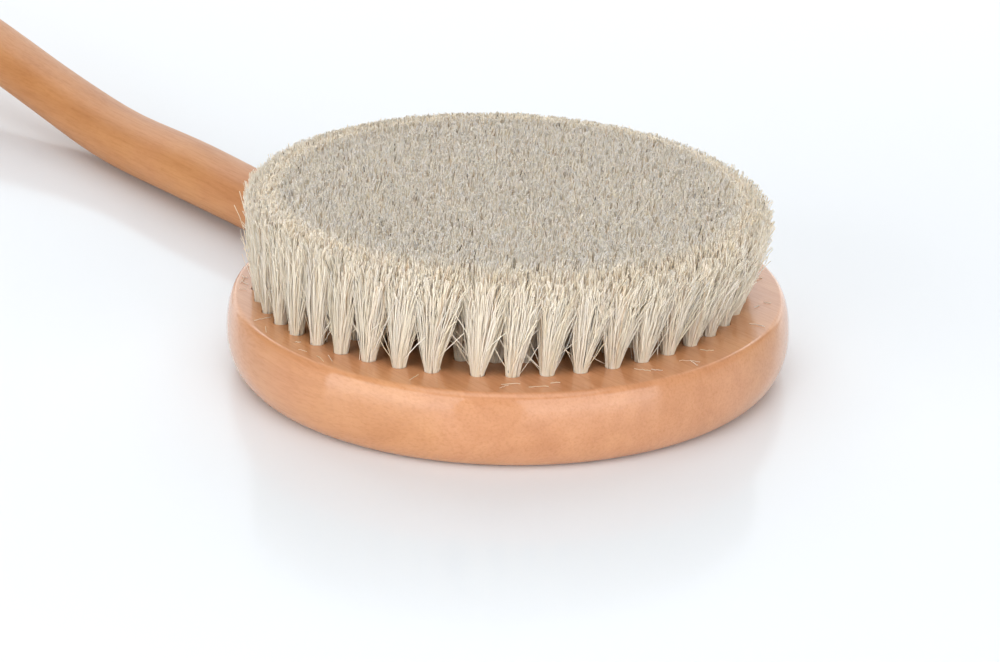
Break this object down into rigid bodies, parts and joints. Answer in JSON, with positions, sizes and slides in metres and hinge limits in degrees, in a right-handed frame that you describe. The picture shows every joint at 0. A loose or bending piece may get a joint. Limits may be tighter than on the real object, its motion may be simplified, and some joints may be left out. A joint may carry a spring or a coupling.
{
  "type": "body dry brush",
  "caption": "Round wooden dry brush with horse hair tufts set in concentric rings and a long, gently curved wooden handle.",
  "frame": {"origin": "centre of the flat back of the round head", "axes": "+Z from the back towards the bristle tips, -X along the handle, +Y completes the right hand"},
  "size_m": [0.3999, 0.115, 0.0371],
  "materials": {
    "head_wood": "clear lacquer, semi-gloss",
    "handle_wood": "clear lacquer, semi-gloss",
    "dowel_wood": "bare turned wood",
    "horse_hair": "natural pale horse hair, cut flat"
  },
  "bodies": {
    "root": {"head_block": "head_wood", "handle": "handle_wood", "handle_dowel": "dowel_wood", "tuft_outer_01": "horse_hair", "tuft_outer_02": "horse_hair", "tuft_outer_03": "horse_hair", "tuft_outer_04": "horse_hair", "tuft_outer_05": "horse_hair", "tuft_outer_06": "horse_hair", "tuft_outer_07": "horse_hair", "tuft_outer_08": "horse_hair", "tuft_outer_09": "horse_hair", "tuft_outer_10": "horse_hair", "tuft_outer_11": "horse_hair", "tuft_outer_12": "horse_hair", "tuft_outer_13": "horse_hair", "tuft_outer_14": "horse_hair", "tuft_outer_15": "horse_hair", "tuft_outer_16": "horse_hair", "tuft_outer_17": "horse_hair", "tuft_outer_18": "horse_hair", "tuft_outer_19": "horse_hair", "tuft_outer_20": "horse_hair", "tuft_outer_21": "horse_hair", "tuft_outer_22": "horse_hair", "tuft_outer_23": "horse_hair", "tuft_outer_24": "horse_hair", "tuft_outer_25": "horse_hair", "tuft_outer_26": "horse_hair", "tuft_outer_27": "horse_hair", "tuft_outer_28": "horse_hair", "tuft_outer_29": "horse_hair", "tuft_outer_30": "horse_hair", "tuft_outer_31": "horse_hair", "tuft_outer_32": "horse_hair", "tuft_outer_33": "horse_hair", "tuft_outer_34": "horse_hair", "tuft_outer_35": "horse_hair", "tuft_outer_36": "horse_hair", "tuft_outer_37": "horse_hair", "tuft_outer_38": "horse_hair", "tuft_outer_39": "horse_hair", "tuft_outer_40": "horse_hair", "tuft_outer_41": "horse_hair", "tuft_outer_42": "horse_hair", "tuft_outer_43": "horse_hair", "tuft_outer_44": "horse_hair", "tuft_outer_45": "horse_hair", "tuft_outer_46": "horse_hair", "tuft_outer_47": "horse_hair", "tuft_ring_2": "horse_hair", "tuft_ring_3": "horse_hair", "tuft_ring_4": "horse_hair", "tuft_ring_5": "horse_hair", "tuft_ring_6": "horse_hair", "tuft_ring_7": "horse_hair", "tuft_centre": "horse_hair"}
  },
  "joints": []
}
